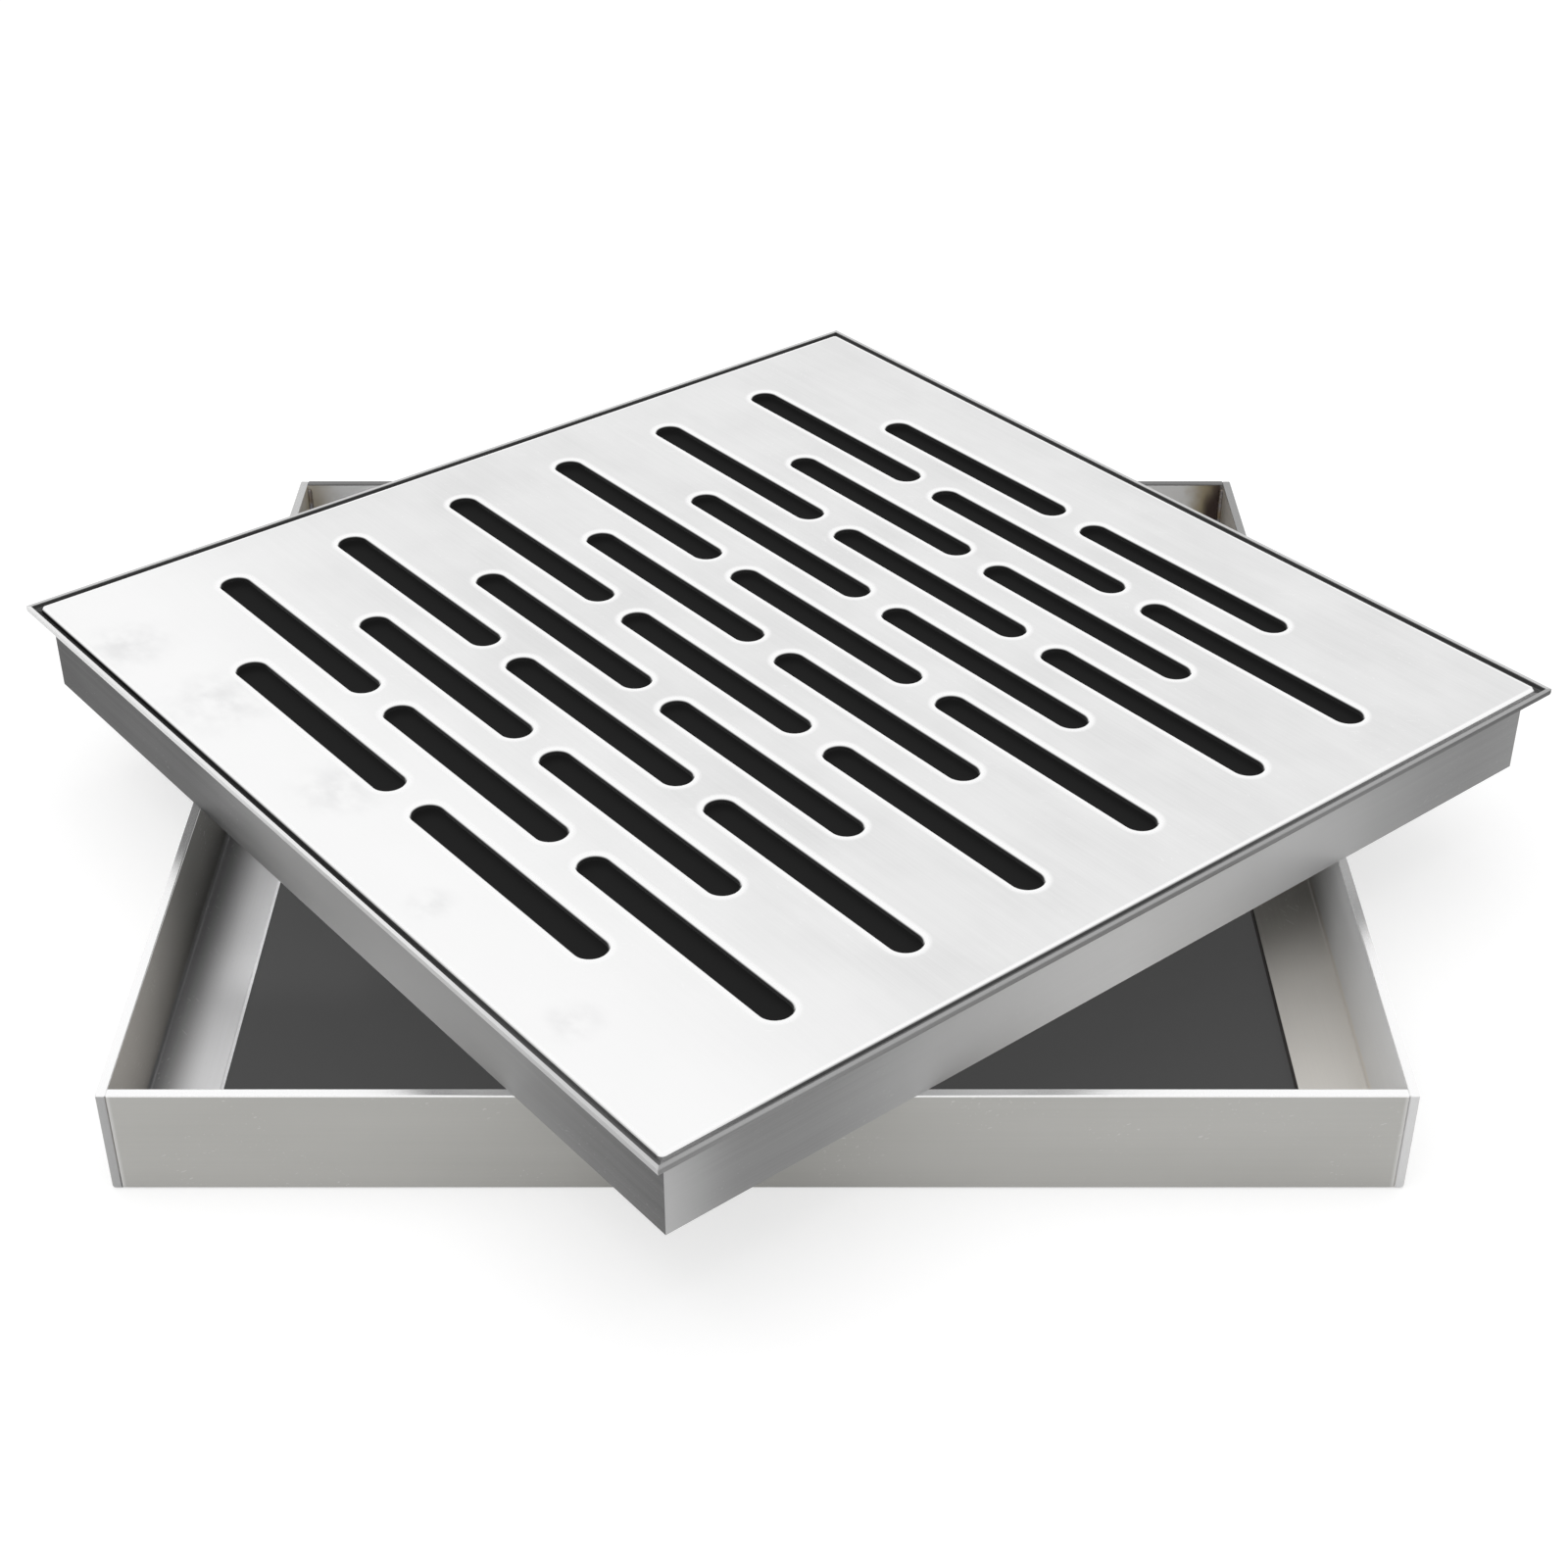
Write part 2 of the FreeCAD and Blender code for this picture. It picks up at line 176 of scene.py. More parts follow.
# %% Brushed grain
grain_group, given, result = new_group(
    "brushed_grain",
    [PLACE, ("Stroke length", "NodeSocketFloat", 0.06), ("Stroke width", "NodeSocketFloat", 0.0004)],
    ["Grain"],
)
fine = put(grain_group, "ShaderNodeCombineXYZ", {0: given[1], 1: given[2], 2: given[2]}).outputs[0]
fine_place = put(grain_group, "ShaderNodeVectorMath", {0: given[0], 1: fine}, operation="DIVIDE").outputs[0]
wider = (0.4, 0.17, 0.17)
widened = put(grain_group, "ShaderNodeVectorMath", {0: fine_place, 1: wider}, operation="MULTIPLY")
stroke_inputs = {"Vector": fine_place, "Scale": 1, "Detail": 3, "Roughness": 0.6}
strokes = put(grain_group, "ShaderNodeTexNoise", stroke_inputs)
bands = put(grain_group, "ShaderNodeTexNoise", {"Vector": widened.outputs[0], "Scale": 1, "Detail": 2})
both = mix_values(grain_group, 0.4, strokes.outputs[0], bands.outputs[0])
grain_group.links.new(ramp_between(grain_group, both, 0.3, 0.7), result["Grain"])
print("brushed grain: strokes of", given[1].default_value, "m by", given[2].default_value, "m")

# %% [markdown]
# No sheet is one even tone. Rolling, handling and cleaning leave soft clouds that are lighter and darker.
# They could be painted, but a noise with large patches needs no picture and has no seams. The patch size
# is an input, because a long strip drifts more slowly than a plate.

# %% Cloudy tone
cloud_group, given, result = new_group(
    "cloudy_tone",
    [PLACE, ("Patch size", "NodeSocketVector", (0.1, 0.1, 0.1)), ("Shift", "NodeSocketFloat", 0.0)],
    ["Tone"],
)
by_patch = put(cloud_group, "ShaderNodeVectorMath", {0: given[0], 1: given[1]}, operation="DIVIDE")
clouds = put(
    cloud_group,
    "ShaderNodeTexNoise",
    {"Vector": by_patch.outputs[0], "W": given[2], "Scale": 1, "Detail": 3, "Roughness": 0.5},
    noise_dimensions="4D",
)
cloud_group.links.new(ramp_between(cloud_group, clouds.outputs[0], 0.3, 0.7), result["Tone"])
print("cloudy tone ready")

# %% [markdown]
# Handling leaves a few fine scratches that cross the grain. They are made as the grain is, from a
# stretched noise, but only its rare peaks are kept, and a cloud breaks them into short pieces. Two layers
# at different angles keep them from looking combed.

# %% Stray scratches
scratch_group, given, result = new_group("stray_scratches", [PLACE], ["Scratch"])
layers = []
for angle, stretch in ((24, (18, 1900, 1900)), (-41, (26, 2400, 2400))):
    tilt = (0.4, 0.2, math.radians(angle))
    turned = put(scratch_group, "ShaderNodeMapping", {"Vector": given[0], "Rotation": tilt}).outputs[0]
    thin = put(scratch_group, "ShaderNodeVectorMath", {0: turned, 1: stretch}, operation="MULTIPLY")
    lines = put(scratch_group, "ShaderNodeTexNoise", {"Vector": thin.outputs[0], "Scale": 1, "Detail": 0})
    layers.append(ramp_between(scratch_group, lines.outputs[0], 0.77, 0.83))
patches = put(scratch_group, "ShaderNodeTexNoise", {"Vector": given[0], "Scale": 45, "Detail": 1})
kept = ramp_between(scratch_group, patches.outputs[0], 0.5, 0.6)
scratch_group.links.new(product(scratch_group, [largest(scratch_group, layers), kept]), result["Scratch"])
print("stray scratches in", len(layers), "layers")

# %% [markdown]
# A weld heats the sheet beside it, and the steel keeps a stain there: straw yellow far out, brown nearer,
# and nearly black at the bead. It could be painted round each bead. The distance to the nearest upright
# corner of a square finds all four corners at once, and a noise makes the border uneven. Each side of the
# frame uses the stain with its own strength.

# %% Heat stain beside the welds
heat_group, given, result = new_group(
    "weld_heat",
    [PLACE, ("Half width", "NodeSocketFloat", 0.15), ("Reach", "NodeSocketFloat", 0.012)],
    ["Heat"],
)
apart = put(heat_group, "ShaderNodeSeparateXYZ", {0: given[0]}).outputs
outwards = [calc(heat_group, "ABSOLUTE", apart[axis]) for axis in (0, 1)]
inset = [calc(heat_group, "SUBTRACT", given[1], outward) for outward in outwards]
flat = put(heat_group, "ShaderNodeCombineXYZ", {0: inset[0], 1: inset[1]}).outputs[0]
distance = put(heat_group, "ShaderNodeVectorMath", {0: flat}, operation="LENGTH").outputs["Value"]
uneven = put(heat_group, "ShaderNodeTexNoise", {"Vector": given[0], "Scale": 140, "Detail": 3}).outputs[0]
wavy = calc(heat_group, "MULTIPLY", distance, mix_values(heat_group, uneven, 0.55, 1.45))
heat_group.links.new(opposite(heat_group, ramp_between(heat_group, wavy, 0.0, given[2])), result["Heat"])
print("heat stain reaches", round(1000 * given[2].default_value), "mm from a bead")

# %% [markdown]
# The frame is painted darker where the grate lies over it, as painted shade. Blender's ambient occlusion
# would find such places too, but a distance is exact and quick. How deep a place lies under the grate is
# half the grate's side less the larger of its two distances from the grate's middle lines. The painted
# shade comes in smoothly between two such depths, and the left and right side of the frame each have their
# own pair.

# %% Place under the grate
GRATE_TURN = math.radians(-51)
GRATE_HALF = 0.150

under_group, given, result = new_group(
    "under_the_grate",
    [PLACE, ("Lit until", "NodeSocketFloat", 0.0), ("Shaded from", "NodeSocketFloat", 0.02)],
    ["Covered"],
)
turn_back = {"Vector": given[0], "Rotation": (0, 0, -GRATE_TURN)}
turned = put(under_group, "ShaderNodeMapping", turn_back).outputs[0]
apart = put(under_group, "ShaderNodeSeparateXYZ", {0: turned}).outputs
outermost = largest(under_group, [calc(under_group, "ABSOLUTE", apart[axis]) for axis in (0, 1)])
depth = calc(under_group, "SUBTRACT", GRATE_HALF, outermost)
under_group.links.new(ramp_between(under_group, depth, given[1], given[2]), result["Covered"])
print("grate is turned by", round(math.degrees(GRATE_TURN)), "degrees")

# %% [markdown]
# All the steels start alike: a metallic surface whose place is read along the sheet's own brushing
# direction. The pieces lie at different turns, so the place is turned back first. A small bump from the
# grain makes the reflections run across the strokes, as they do on real brushed steel.

# %% Start of a steel finish
QUARTER = math.radians(90)


def new_steel(name, centre, turn):
    """Make an empty metal material, and return it with its nodes, its shader and its brushing place."""
    material = bpy.data.materials.new(name)
    material.use_nodes = True
    tree = material.node_tree
    shader = tree.nodes["Principled BSDF"]
    shader.inputs["Metallic"].default_value = 1
    spot = put(tree, "ShaderNodeTexCoord").outputs["Object"]
    middle = put(tree, "ShaderNodeVectorMath", {0: spot, 1: centre}, operation="SUBTRACT").outputs[0]
    along = put(tree, "ShaderNodeMapping", {"Vector": middle, "Rotation": (0, 0, -turn)}).outputs[0]
    return material, tree, shader, along


def use_group(tree, group, inputs):
    """Place one of the shared effects in a material."""
    return put(tree, "ShaderNodeGroup", inputs, node_tree=group).outputs[0]


def add_relief(tree, shader, height, strength, depth):
    """Let a height change the way the surface catches the light."""
    bump = put(tree, "ShaderNodeBump", {"Height": height, "Strength": strength, "Distance": depth})
    tree.links.new(bump.outputs[0], shader.inputs["Normal"])


print("start of a steel ready")

# %% [markdown]
# Punching leaves a burr round every slot, and a narrow white rim is painted round each, as a painted
# highlight along its edge.
# The rim is wider than the bevel, so the faces of the mesh can't mark it, and the finish has to know how
# far each place on the plate is from the nearest slot. The slots repeat, so rounding to the nearest row
# and the nearest slot in it gives a place relative to one slot. A round-ended slot is all that lies
# within half its width of its middle line, so the rim is what lies a little further out.

# %% Distance to the nearest slot
SLOT_LENGTH = 0.0785
SLOT_WIDTH = 0.0085
HALF_LINE = (SLOT_LENGTH - SLOT_WIDTH) / 2
SLOT_BRIDGE = 0.0102
ROW_WEB = 0.011
COLUMN_PITCH = SLOT_LENGTH + SLOT_BRIDGE
ROW_PITCH = SLOT_WIDTH + ROW_WEB
ROWS = 13
RIM_WHITE = 0.0010
RIM_FADED = 0.0026
STRIP_SHEET = 0.001
PLATE_GAP = 0.0018
LIP_INSIDE = GRATE_HALF - STRIP_SHEET
PLATE_HALF = LIP_INSIDE - PLATE_GAP


def to_nearest(tree, value, pitch):
    """How far a value is from the nearest multiple of a pitch, and the number of that multiple."""
    number = calc(tree, "ROUND", calc(tree, "DIVIDE", value, pitch))
    offset = calc(tree, "SUBTRACT", value, calc(tree, "MULTIPLY", number, pitch))
    return calc(tree, "ABSOLUTE", offset), number


def highlight_rims(tree, along):
    """1 on the narrow rims round the slots and along the plate's border, and 0 between them."""
    apart = put(tree, "ShaderNodeSeparateXYZ", {0: along}).outputs
    from_row, row = to_nearest(tree, apart[1], ROW_PITCH)
    long_row = calc(tree, "FLOORED_MODULO", row, 2.0)
    start = calc(tree, "MULTIPLY", opposite(tree, long_row), COLUMN_PITCH / 2)
    from_slot = to_nearest(tree, calc(tree, "SUBTRACT", apart[0], start), COLUMN_PITCH)[0]
    past_line = calc(tree, "MAXIMUM", calc(tree, "SUBTRACT", from_slot, HALF_LINE), 0.0)
    flat = put(tree, "ShaderNodeCombineXYZ", {0: past_line, 1: from_row}).outputs[0]
    distance = put(tree, "ShaderNodeVectorMath", {0: flat}, operation="LENGTH").outputs["Value"]
    by_slot = ramp_between(tree, distance, SLOT_WIDTH / 2 + RIM_FADED, SLOT_WIDTH / 2 + RIM_WHITE)

    sideways = calc(tree, "ABSOLUTE", apart[0])
    endways = calc(tree, "ABSOLUTE", apart[1])
    row_end = mix_values(tree, long_row, COLUMN_PITCH, 1.5 * COLUMN_PITCH)
    in_row = calc(tree, "LESS_THAN", sideways, row_end)
    in_rows = calc(tree, "LESS_THAN", endways, ROWS / 2 * ROW_PITCH)
    by_slot = product(tree, [by_slot, in_row, in_rows])
    outermost = largest(tree, [sideways, endways])
    by_border = ramp_between(tree, outermost, PLATE_HALF - 0.0014, PLATE_HALF - 0.0007)
    return largest(tree, [by_slot, by_border])


print("slot rows every", round(1000 * ROW_PITCH, 1), "mm, slots every", round(1000 * COLUMN_PITCH, 1), "mm")

# %% [markdown]
# The slotted plate is the bright face of the drain. It is brushed along the slots, and has a few faint
# grey smudges along one edge, where hands have held it. Noise alone would put smudges anywhere, so each
# one here has a place and a reach, and a noise only makes its shape uneven. The direction that a face
# looks in tells the slot walls and the bevels from the flat top.

# %% Marks on the slotted plate
PLATE_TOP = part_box("slotted_plate")[1].z
HANDLED_SPOTS = (
    (-0.112, -0.138, 0.018),
    (-0.070, -0.132, 0.022),
    (-0.014, -0.128, 0.018),
    (0.042, -0.137, 0.009),
    (0.099, -0.136, 0.010),
)

plate_steel, tree, shader, along = new_steel("plate_steel_look", (0, 0, 0), GRATE_TURN)
grain = use_group(tree, grain_group, {"Place": along, "Stroke length": 0.035, "Stroke width": 0.00035})
tone = use_group(tree, cloud_group, {"Place": along, "Patch size": (0.035, 0.022, 0.022), "Shift": 2.0})
smears = use_group(tree, cloud_group, {"Place": along, "Patch size": (0.009, 0.006, 0.006), "Shift": 5.0})
scratch = use_group(tree, scratch_group, {"Place": along})
handled = []
for side, end, reach in HANDLED_SPOTS:
    ends = {0: along, 1: (side, end, PLATE_TOP)}
    away = put(tree, "ShaderNodeVectorMath", ends, operation="DISTANCE").outputs["Value"]
    handled.append(ramp_between(tree, away, reach, 0.0))
smudge = product(tree, [smears, largest(tree, handled)])
rim = highlight_rims(tree, along)

normal = put(tree, "ShaderNodeNewGeometry").outputs["Normal"]
upward = put(tree, "ShaderNodeSeparateXYZ", {0: normal}).outputs[2]
bevel = ramp_between(tree, upward, 0.99, 0.93)
wall = ramp_between(tree, upward, 0.5, 0.15)
painted_highlight = largest(tree, [rim, bevel])
print("plate has", len(HANDLED_SPOTS), "smudged places")

# %% [markdown]
# In soft light the plate is nearly white, and a band along the edge with the smudges is painted lighter, as
# painted light. The rims are painted white, as painted highlights, and the punched walls inside the slots
# are painted dark, as painted shade, as is the lower part of the bevels. The plate's two front sides show
# in the gap; they are painted dark, as painted shade, and painted lighter towards the front and right
# corners, as painted light. A picture of the plate could hold all this, but it would hold all of the light
# too, so the colours are mixed from masks.

# %% Colours of the slotted plate
RIM_BEVEL = 0.0005
BAND_START = -0.045
BAND_FULL = -0.14
# Near white, for the lighter clouds and grain, and for the painted highlights on rims and bevels.
PALE_AND_HIGHLIGHT = grey(0.98)
SMUDGE_GREY = (0.60, 0.60, 0.61, 1)
# Painted shade for the slot walls, the lower bevels and the plate's sides in the gap; the side greys paint
# the sides lighter towards the front and right corners, as painted light.
WALL_SHADE = grey(0.03)
SIDE_DIM = grey(0.27)
SIDE_MIDDLE = grey(0.45)
SIDE_PALE = grey(0.9)
SIDE_START = 0.0017
SIDE_FULL = 0.0007
LEFT_SHADE_START = -0.13
FRONT_SHADE_START = -0.105

apart = put(tree, "ShaderNodeSeparateXYZ", {0: along}).outputs
deep = ramp_between(tree, apart[2], PLATE_TOP - 0.2 * RIM_BEVEL, PLATE_TOP - RIM_BEVEL)
# Painted light: the plate is painted lighter in a band along the edge with the smudges.
lighter = ramp_between(tree, apart[1], BAND_START, BAND_FULL)
face = mix_colours(tree, lighter, grey(0.745), grey(0.945))
face = mix_colours(tree, calc(tree, "MULTIPLY", tone, 0.28), face, PALE_AND_HIGHLIGHT)
face = mix_colours(tree, calc(tree, "MULTIPLY", grain, 0.22), face, PALE_AND_HIGHLIGHT)
face = mix_colours(tree, calc(tree, "MULTIPLY", smudge, 0.32), face, SMUDGE_GREY)
face = mix_colours(tree, calc(tree, "MULTIPLY", scratch, 0.3), face, grey(1.0))
# Painted highlight: the rims and bevels are painted near white.
colour = mix_colours(tree, painted_highlight, face, PALE_AND_HIGHLIGHT)
# The plate's sides in the gap: painted shade, painted lighter towards the front and right corners as
# painted light.
left_side = ramp_between(tree, apart[1], SIDE_START - PLATE_HALF, SIDE_FULL - PLATE_HALF)
right_side = ramp_between(tree, apart[0], PLATE_HALF - SIDE_START, PLATE_HALF - SIDE_FULL)
to_front = ramp_between(tree, apart[0], LEFT_SHADE_START, PLATE_HALF)
front_end = ramp_between(tree, apart[1], FRONT_SHADE_START, -PLATE_HALF)
right_end = ramp_between(tree, apart[1], 0.0, PLATE_HALF)
left_shade = mix_colours(tree, to_front, WALL_SHADE, SIDE_MIDDLE)
right_shade = mix_colours(tree, largest(tree, [front_end, right_end]), SIDE_DIM, SIDE_PALE)
shaded = mix_colours(tree, left_side, WALL_SHADE, left_shade)
shaded = mix_colours(tree, right_side, shaded, right_shade)
# Painted shade on the slot walls and the lower part of the bevels.
colour = mix_colours(tree, largest(tree, [wall, deep]), colour, shaded)
rough = mix_values(tree, grain, 0.30, 0.40)
rough = calc(tree, "ADD", rough, calc(tree, "MULTIPLY", smudge, 0.15))
rough = mix_values(tree, painted_highlight, rough, 0.24)
tree.links.new(colour, shader.inputs["Base Color"])
tree.links.new(mix_values(tree, wall, rough, 0.6), shader.inputs["Roughness"])
add_relief(tree, shader, grain, 0.12, 0.00003)
nodes["slotted_plate"].data.materials[0] = plate_steel
print("plate finish has", len(tree.nodes), "nodes")

# %% [markdown]
# The four edge strips of the grate are folded from thinner, greyer sheet and brushed along their length.
# Each is painted lighter towards its middle and darker again towards its end, as painted light. A lamp
# could do that, but it would light the frame as well, so the rise and fall are painted into the finish. The
# folded lip, its cut edge and the gap beside the plate have tones of their own, which change towards the
# end of the strip: the gap is painted dark, as painted shade, and the lip and cut edge carry painted light
# and shade. The height tells them apart.

# %% Finish of the edge strips
LIP_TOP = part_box("grate_edge_front_left")[1].z
LIP_HEIGHT = 0.0027
LIP_FOOT = LIP_TOP - LIP_HEIGHT
END_SHINE_REACH = 0.028
LIP_CHANGE_START = 0.02


def edge_steel(name, turn, shift, tones):
    """Satin sheet of the edge strips; its tone rises and falls along the strip between the given places, as
    painted light.
    """
    material, tree, shader, along = new_steel(name, (0, 0, 0), turn)
    shader.inputs["Metallic"].default_value = 0.4
    grain = use_group(tree, grain_group, {"Place": along, "Stroke length": 0.05, "Stroke width": 0.0004})
    drift = use_group(tree, cloud_group, {"Place": along, "Patch size": (0.09, 0.4, 0.4), "Shift": shift})
    scratch = use_group(tree, scratch_group, {"Place": along})
    apart = put(tree, "ShaderNodeSeparateXYZ", {0: along}).outputs
    # Painted light: the tone rises towards the strip's middle and falls again, and the end shine is a
    # painted highlight near one end.
    rise_start, rise_end = tones["rise"]
    fall_start, fall_end = tones["fall"]
    rise = ramp_between(tree, apart[0], rise_start, rise_end)
    fall = ramp_between(tree, apart[0], fall_end, fall_start)
    middle = product(tree, [rise, fall])
    if tones["end shine"]:
        near_end = ramp_between(tree, apart[0], END_SHINE_REACH - GRATE_HALF, -GRATE_HALF)
        middle = largest(tree, [middle, calc(tree, "MULTIPLY", near_end, tones["end shine"])])
    lightness = mix_values(tree, 0.12, middle, drift)
    folded = ramp_between(tree, apart[2], LIP_FOOT - 0.0003, LIP_FOOT + 0.0003)
    cut_edge = ramp_between(tree, apart[2], LIP_TOP - 0.0004, LIP_TOP - 0.0001)
    outward = calc(tree, "ABSOLUTE", apart[1])
    inward = ramp_between(tree, outward, LIP_INSIDE + 0.0004, LIP_INSIDE + 0.0001)
    below_top = ramp_between(tree, apart[2], LIP_TOP - 0.0001, LIP_TOP - 0.0003)
    gap = product(tree, [inward, below_top, folded])

    to_end = ramp_between(tree, apart[0], LIP_CHANGE_START, GRATE_HALF)
    lip = mix_values(tree, to_end, *tones["lip"])
    cut = mix_values(tree, to_end, *tones["cut"])
    # The gap beside the plate is painted dark, as painted shade.
    gap_shade = mix_values(tree, to_end, *tones["gap"])
    colour = mix_colours(tree, lightness, grey(tones["dark"]), grey(tones["light"]))
    colour = mix_colours(tree, folded, colour, lip)
    colour = mix_colours(tree, cut_edge, colour, cut)
    colour = mix_colours(tree, calc(tree, "MULTIPLY", grain, 0.10), colour, grey(0.7))
    colour = mix_colours(tree, calc(tree, "MULTIPLY", scratch, 0.12), colour, grey(0.8))
    colour = mix_colours(tree, gap, colour, gap_shade)
    tree.links.new(colour, shader.inputs["Base Color"])
    tree.links.new(mix_values(tree, grain, 0.50, 0.62), shader.inputs["Roughness"])
    add_relief(tree, shader, grain, 0.15, 0.00003)
    return material


print("lip top at", round(1000 * LIP_TOP, 2), "mm")

# %% [markdown]
# Two of the strips run along the slots and two across them. They are brushed in different directions, and
# one pair is painted darker than the other, as painted shade. The lips at the back are painted pale beside
# a gap painted dark, as painted light and shade. Four finishes could be built one by one, but one recipe
# with a set of tones for each strip is shorter and keeps them alike.

# %% Tones of the edge strips
# Painted shade for the darker pair of strips and painted light for the paler pair; the lip, cut and gap
# tones are painted light and shade too.
SHADED_STRIP = {
    "dark": 0.025,
    "light": 0.555,
    "lip": (0.80, 0.52),
    "cut": (0.85, 0.57),
    "gap": (0.02, 0.15),
    "rise": (-0.07, 0.0),
    "fall": (0.028, 0.165),
    "end shine": 0.0,
}
LIT_STRIP = {
    "dark": 0.21,
    "light": 0.79,
    "lip": (0.21, 0.07),
    "cut": (0.34, 0.38),
    "gap": (0.30, 0.30),
    "rise": (-0.119, -0.004),
    "fall": (-0.004, 0.125),
    "end shine": 0.5,
}
BACK_LIP = {"lip": (0.80, 0.80), "cut": (0.60, 0.60), "gap": (0.11, 0.11)}
STRIPS = {
    "grate_edge_front_left": (GRATE_TURN, 1.0, SHADED_STRIP),
    "grate_edge_back_right": (GRATE_TURN, 1.0, {**SHADED_STRIP, **BACK_LIP}),
    "grate_edge_front_right": (GRATE_TURN + QUARTER, 4.0, LIT_STRIP),
    "grate_edge_back_left": (GRATE_TURN + QUARTER, 4.0, {**LIT_STRIP, **BACK_LIP}),
}
for name, (turn, shift, tones) in STRIPS.items():
    nodes[name].data.materials[0] = edge_steel(name + "_look", turn, shift, tones)
print("a finish on each of", len(STRIPS), "edge strips")

# %% [markdown]
# The frame is four angles of thicker sheet, each folded into a wall and a ledge for the grate. The finish
# has to tell the wall, the ledge, its free edge and the ground top edge apart. The sizes for that could
# be typed in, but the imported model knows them, so they are measured from its boxes.

# %% Sizes of the frame
front_low, front_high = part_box("frame_front_angle")
side_low, side_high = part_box("frame_left_angle")
HALF_SEAT = (front_high.x - front_low.x) / 2
HALF_FRAME = (side_high.y - side_low.y) / 2
LEDGE_REACH = side_high.x - side_low.x - (HALF_FRAME - HALF_SEAT)
FRAME_TOP = front_high.z
LEDGE_TOP = HALF_FRAME - HALF_SEAT
FRAME_CENTRE = Vector(((front_low.x + front_high.x) / 2, (side_low.y + side_high.y) / 2, 0))
print("frame seat", round(2000 * HALF_SEAT, 1), "mm, top at", round(1000 * FRAME_TOP, 1), "mm")

# %% [markdown]
# The frame has a warm grey satin face, and its upper edges are ground bright; towards the back they are
# painted darker, as painted shade. Inside, what lies under the grate is painted darker, as painted shade,
# and in the back corners the welds have stained the wall brown. Each of these could be a material of its
# own, but then their borders would be hard. Masks from the height and the distance to the walls let them
# fade into each other.

# %% Finish of the frame
SATIN_DARK = (0.41, 0.405, 0.385, 1)
SATIN_LIGHT = (0.46, 0.455, 0.435, 1)
STROKE_LIGHT = (0.68, 0.675, 0.65, 1)
STAIN_STRAW = (0.42, 0.36, 0.25, 1)
STAIN_BROWN = (0.06, 0.04, 0.035, 1)
STAIN_REACH = 0.016
# Colour of the painted shade where the grate lies over the frame.
GRATE_SHADE = (0.035, 0.033, 0.024, 1)


